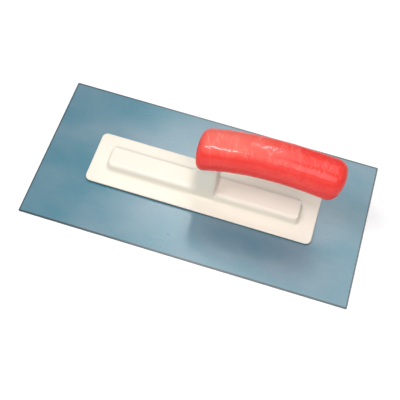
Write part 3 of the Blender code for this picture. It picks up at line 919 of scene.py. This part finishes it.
def red_vinyl():
    """Glossy red vinyl with a painted sheen on its upper side, fading to the tail, and pale crease marks
    that are partly painted glints.
    """
    graph = Graph("red_vinyl_finish")
    haze = graph.noise(graph.place(), 70.0, 4.0, 0.6, 1.0)
    rough = graph.noise(graph.place((900.0, 150.0, 150.0)), 1.0, 4.0, 0.65, 1.2)
    red = graph.mix(
        graph.span(haze, 0.3, 0.7, 0.0, 1.0),
        colour(0.75, 0.042, 0.034),
        colour(0.79, 0.056, 0.046),
    )
    # Painted sheen: the upward-facing side of the grip is paled, fading towards the tail.
    painted_light_facing = graph.math("MULTIPLY_ADD", haze, 0.25, facing_up(graph))
    along = graph.add("ShaderNodeSeparateXYZ", Vector=graph.place()).outputs["X"]
    sheen_fading = graph.span(along, 0.02, 0.075, 1.0, 0.0)
    painted_sheen = graph.math("MULTIPLY", graph.span(painted_light_facing, 0.72, 1.06, 0.0, 1.0), sheen_fading)
    crest = graph.add("ShaderNodeAttribute", {"attribute_name": CREASE_LAYER}).outputs["Fac"]
    red_with_painted_sheen = graph.mix(painted_sheen, red, colour(0.78, 0.145, 0.115))
    # Pale crease marks, partly pale crests of the film and partly painted glints, shown only where the
    # creases face up and fading towards the tail.
    glint_fading = graph.span(along, 0.03, 0.10, 1.0, 0.4)
    strength = graph.span(crest, 0.2, 0.9, 0.0, 0.34)
    crests_and_glints = graph.math("MULTIPLY", strength, graph.span(painted_light_facing, 0.80, 1.0, 0.15, 1.0))
    pale_crests_and_painted_glints = graph.math("MULTIPLY", crests_and_glints, glint_fading)
    graph.set(Base_Color=graph.mix(pale_crests_and_painted_glints, red_with_painted_sheen, colour(0.86, 0.36, 0.31)))
    graph.set(Roughness=graph.span(rough, 0.3, 0.7, 0.42, 0.54), Specular_IOR_Level=0.0)
    graph.set(Normal=graph.bump(rough, 0.00006, 0.6))
    graph.shader.inputs["Coat Weight"].default_value = VINYL_COAT
    graph.shader.inputs["Coat Roughness"].default_value = VINYL_COAT_ROUGHNESS
    return graph.material


def zinc_steel():
    """Bright zinc plating with a faint warm and cool drift."""
    graph = Graph("zinc_steel_finish")
    drift = graph.noise(graph.place(), 160.0, 3.0, 0.6, 1.5)
    pits = graph.noise(graph.place(), 2600.0, 3.0, 0.6)
    share = graph.span(drift, 0.3, 0.7, 0.0, 1.0)
    tone = graph.mix(share, colour(0.55, 0.56, 0.60), colour(0.66, 0.63, 0.55))
    graph.set(Base_Color=tone, Metallic=1.0)
    graph.set(Roughness=graph.span(pits, 0.3, 0.7, 0.24, 0.42))
    graph.set(Normal=graph.bump(pits, 0.00002, 0.4))
    return graph.material


def core_plastic():
    """Dark reground plastic with light flecks and flow marks."""
    graph = Graph("core_plastic_finish")
    flow = graph.noise(graph.place((20.0, 120.0, 120.0)), 1.0, 4.0, 0.6, 1.0)
    flecks = graph.noise(graph.place(), 700.0, 2.0, 0.7)
    share = graph.span(flow, 0.3, 0.7, 0.0, 1.0)
    base = graph.mix(share, colour(0.045, 0.045, 0.05), colour(0.085, 0.08, 0.08))
    marked = graph.mix(graph.span(flecks, 0.66, 0.78, 0.0, 0.5), base, colour(0.22, 0.21, 0.20))
    graph.set(Base_Color=marked)
    graph.set(Roughness=graph.span(flow, 0.3, 0.7, 0.5, 0.68))
    graph.set(Normal=graph.bump(flecks, 0.00004, 0.5))
    return graph.material


def floor_paper():
    graph = Graph("floor_paper")
    fibre = graph.noise(graph.place(), 900.0, 2.0, 0.5)
    share = graph.span(fibre, 0.3, 0.7, 0.0, 1.0)
    tone = graph.mix(share, colour(0.955, 0.955, 0.955), colour(0.975, 0.975, 0.975))
    graph.set(Base_Color=tone)
    graph.set(Roughness=0.9)
    graph.shader.inputs["Specular IOR Level"].default_value = 0.1
    return graph.material


def finish_node(node, material):
    """Give a carried-over CAD node its finish."""
    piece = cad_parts[node]
    piece.data.materials.clear()
    piece.data.materials.append(material)


def finish_cad_nodes():
    zinc = zinc_steel()
    core = core_plastic()
    finish_node("blade", blade_steel())
    for node in STUD_NODES + ["backing_plate", "lock_washer", "handle_bolt", "nut_washer", "handle_nut"]:
        finish_node(node, zinc)
    for node in ("handle_core_left", "handle_core_right"):
        finish_node(node, core)


# ---------------------------------------------------------------- stage


def direction(azimuth, elevation):
    """Unit vector from the object towards a place; azimuth 0 is -Y and grows towards +X."""
    turn = math.radians(azimuth)
    up = math.radians(elevation)
    return Vector((math.sin(turn) * math.cos(up), -math.cos(turn) * math.cos(up), math.sin(up)))


def aimed(towards, roll_degrees):
    """Rotation of something that looks along a vector with its top up, then rolled."""
    look = towards.normalized().to_track_quat("-Z", "Y").to_matrix()
    return (look @ Matrix.Rotation(math.radians(roll_degrees), 3, "Z")).to_euler()


def make_camera():
    data = bpy.data.cameras.new("camera")
    data.lens = CAMERA_LENS
    data.sensor_width = 36.0
    data.clip_start = 0.02
    data.clip_end = 20.0
    camera = bpy.data.objects.new("camera", data)
    back = direction(CAMERA_AZIMUTH, CAMERA_ELEVATION)
    camera.location = CAMERA_TARGET + back * CAMERA_DISTANCE
    camera.rotation_euler = aimed(-back, CAMERA_ROLL)
    bpy.context.scene.collection.objects.link(camera)
    bpy.context.scene.camera = camera


def area_light(name, place, watts, tint, width, length, along):
    """A rectangular panel that faces the object, with its long side towards a given direction."""
    data = bpy.data.lights.new(name, "AREA")
    data.shape = "RECTANGLE"
    data.size = width
    data.size_y = length
    data.energy = watts
    data.color = tint
    lamp = bpy.data.objects.new(name, data)
    back = place.normalized()
    side = along.cross(back).normalized()
    up = back.cross(side)
    turn = Matrix((side, up, back)).transposed()
    lamp.matrix_world = Matrix.Translation(place) @ turn.to_4x4()
    bpy.context.scene.collection.objects.link(lamp)


def make_lights():
    for name, azimuth, elevation, watts, tint in PANELS:
        place = direction(azimuth, elevation) * PANEL_DISTANCE
        area_light(name, place, watts, tint, PANEL_SIZE, PANEL_SIZE, Vector(PANEL_TOP))
    for name, place, watts, width, length, along in SMALL_LIGHTS:
        area_light(name, Vector(place), watts, WHITE, width, length, Vector(along))
    world = bpy.data.worlds.new("world")
    world.use_nodes = True
    background = world.node_tree.nodes["Background"]
    background.inputs["Color"].default_value = colour(0.95, 0.97, 1.0)
    background.inputs["Strength"].default_value = WORLD_STRENGTH
    bpy.context.scene.world = world
    bpy.context.scene.view_settings.view_transform = "Standard"


def make_floor():
    signs = ((-1, -1), (1, -1), (1, 1), (-1, 1))
    mesh = bpy.data.meshes.new("floor")
    corners = [(FLOOR_HALF * x, FLOOR_HALF * y, FLOOR_Z) for x, y in signs]
    mesh.from_pydata(corners, [], [(0, 1, 2, 3)])
    mesh.materials.append(floor_paper())
    floor = bpy.data.objects.new("floor", mesh)
    bpy.context.scene.collection.objects.link(floor)


finish_cad_nodes()
make_mounting(cream_plastic())
make_grip(red_vinyl())
make_floor()
make_lights()
make_camera()
